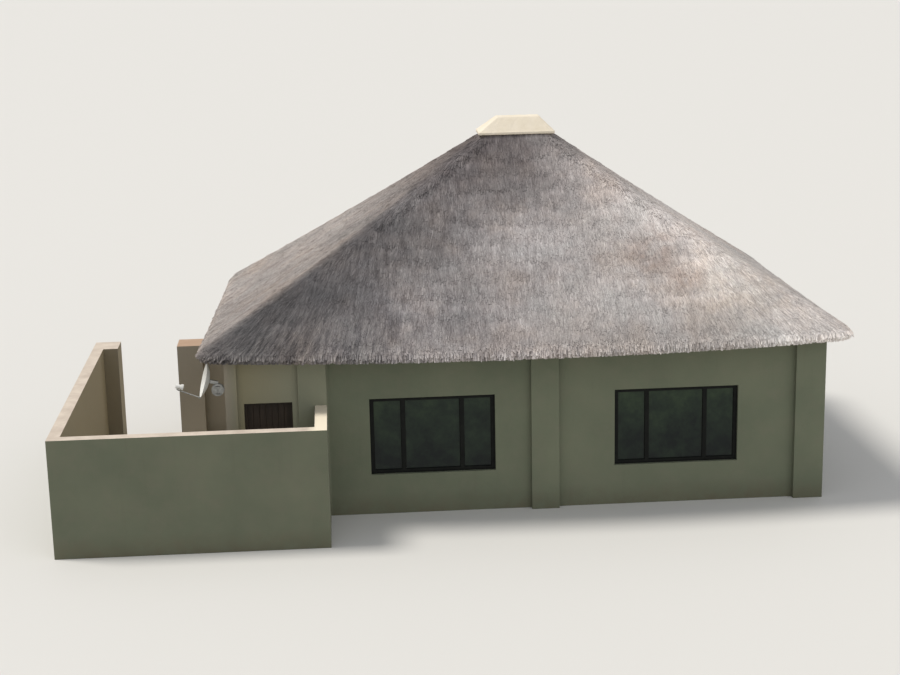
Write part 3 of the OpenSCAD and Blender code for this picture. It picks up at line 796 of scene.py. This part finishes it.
def door_boards():
    low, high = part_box("door_leaf")
    step = (high[0] - low[0]) / BOARDS
    profile = [(low[0], BOARD_EDGE), (low[0] + BOARD_EDGE, 0.0)]
    for k in range(1, BOARDS):
        x = low[0] + k * step
        profile += [(x - V_HALF, 0.0), (x, V_DEEP), (x + V_HALF, 0.0)]
    profile += [(high[0] - BOARD_EDGE, 0.0), (high[0], BOARD_EDGE)]
    pts = [(x, y, z) for z in (low[2], high[2]) for x, d in profile
           for y in (low[1] + d, high[1] - d)]
    n = 2 * len(profile)
    faces = []
    for q in range(0, n - 2, 2):
        faces += [(q, q + 1, q + 3, q + 2), (n + q, n + q + 2, n + q + 3, n + q + 1),
                  (q, q + 2, n + q + 2, n + q), (q + 1, n + q + 1, n + q + 3, q + 3)]
    faces += [(0, n, n + 1, 1), (n - 2, n - 1, 2 * n - 1, 2 * n - 2)]
    leaf = piece("door_boards", pts, faces, TIMBER)
    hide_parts("door_leaf")
    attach(leaf, "kitchen_door")


# Glazing beads round each light, on both faces of the glass

BEAD, BEAD_LIP = 0.009, 0.004
# Section of a bead: how far it reaches over the glass and out from the glass's middle
BEAD_SECTION = ((0.0, GLASS_T / 2), (0.0, GLASS_T / 2 + BEAD), (BEAD_LIP, GLASS_T / 2 + BEAD),
                (BEAD, GLASS_T / 2 + BEAD_LIP), (BEAD, GLASS_T / 2))


def window_places(node, run, out):
    """Each window of a node: its middle, the directions along and out of its wall, and its
    height. A node whose box is longer than a window has one at each end."""
    low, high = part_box(node)
    starts = [low[run]]
    if high[run] - low[run] > 1.5 * WINDOW_W:
        starts.append(high[run] - WINDOW_W)
    along = ((1, 0, 0), (0, 1, 0))[run]
    places = []
    for start in starts:
        middle = [(a + b) / 2 for a, b in zip(low, high)]
        middle[run] = start + WINDOW_W / 2
        places.append((Vector(middle), Vector(along), Vector(out), high[2] - low[2]))
    return places


def glazing_beads(name, windows):
    pts, faces = [], []
    clear = WINDOW_W - 4 * FRAME_BAR
    lights = ((FRAME_BAR, clear / 4), (2 * FRAME_BAR + clear / 4, clear / 2),
              (3 * FRAME_BAR + 3 * clear / 4, clear / 4))

    def bead(middle, along, out, x1, x2, half, face):
        base, rings = len(pts), len(BEAD_SECTION)
        for inset, stand in BEAD_SECTION:
            left, right, top = x1 + inset, x2 - inset, half - inset
            for x, z in ((left, -top), (right, -top), (right, top), (left, top)):
                pts.append(middle + along * x + Vector((0, 0, z)) + out * face * stand)
        for ring in range(rings):
            here, there = base + 4 * ring, base + 4 * ((ring + 1) % rings)
            for k in range(4):
                k2 = (k + 1) % 4
                a, b, c, d = here + k, here + k2, there + k2, there + k
                faces.append((a, b, c, d) if face > 0 else (a, d, c, b))

    for middle, along, out, height in windows:
        for start, width in lights:
            x1 = start - WINDOW_W / 2
            for face in (1, -1):
                bead(middle, along, out, x1, x1 + width, height / 2 - FRAME_BAR, face)
    beads = piece(name, pts, faces, BARS)
    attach(beads, "hut")


TO_FRONT, TO_RIGHT = (0, -1, 0), (1, 0, 0)
ridge_cap_mortar()
door_boards()
glazing_beads("glazing_beads_front", window_places("front_window_left", 0, TO_FRONT)
              + window_places("front_window_right", 0, TO_FRONT))
glazing_beads("glazing_beads_back", window_places("back_windows", 0, TO_FRONT))
glazing_beads("glazing_beads_side", window_places("side_windows", 1, TO_RIGHT))


# Floor, light and camera

FLOOR_HALF, FLOOR_Z = 300, -0.001


def studio_floor():
    corners = [(x * FLOOR_HALF, y * FLOOR_HALF, FLOOR_Z)
               for x, y in ((-1, -1), (1, -1), (1, 1), (-1, 1))]
    finish = Finish("studio_floor").surface(Base_Color=rgb("#cfcdc8"), Roughness=0.9)
    floor = piece("floor", corners, [(0, 1, 2, 3)], finish)


def lamp(name, energy, spread, azimuth, elevation, colour):
    """A soft sun seen at an azimuth and elevation in degrees; azimuth 0 is the front."""
    data = bpy.data.lights.new(name, "SUN")
    data.energy = energy
    data.angle = spread
    data.color = colour
    azimuth, elevation = math.radians(azimuth), math.radians(elevation)
    back = Vector((math.sin(azimuth) * math.cos(elevation),
                   -math.cos(azimuth) * math.cos(elevation), math.sin(elevation)))
    placed(name, data).rotation_euler = back.to_track_quat("Z", "Y").to_euler()


studio_floor()
lamp("key", 2.6, 0.30, -100, 60, (1.0, 0.97, 0.92))
lamp("fill", 0.5, 1.2, 20, 35, (0.93, 0.96, 1.0))

world = bpy.data.worlds.new("studio")
bpy.context.scene.world = world
world.use_nodes = True
sky = world.node_tree.nodes["Background"]
sky.inputs["Color"].default_value = (0.93, 0.95, 1.0, 1.0)
sky.inputs["Strength"].default_value = 0.55

lens = bpy.data.cameras.new("camera")
lens.sensor_width = 36.0
lens.lens = 69.82
lens.clip_end = 1000.0
camera = placed("camera", lens)
camera.location = (-3.382, -34.405, 11.294)
camera.rotation_euler = (1.32186, 0.02033, -0.06772)
bpy.context.scene.camera = camera
bpy.context.scene.view_settings.view_transform = "Standard"
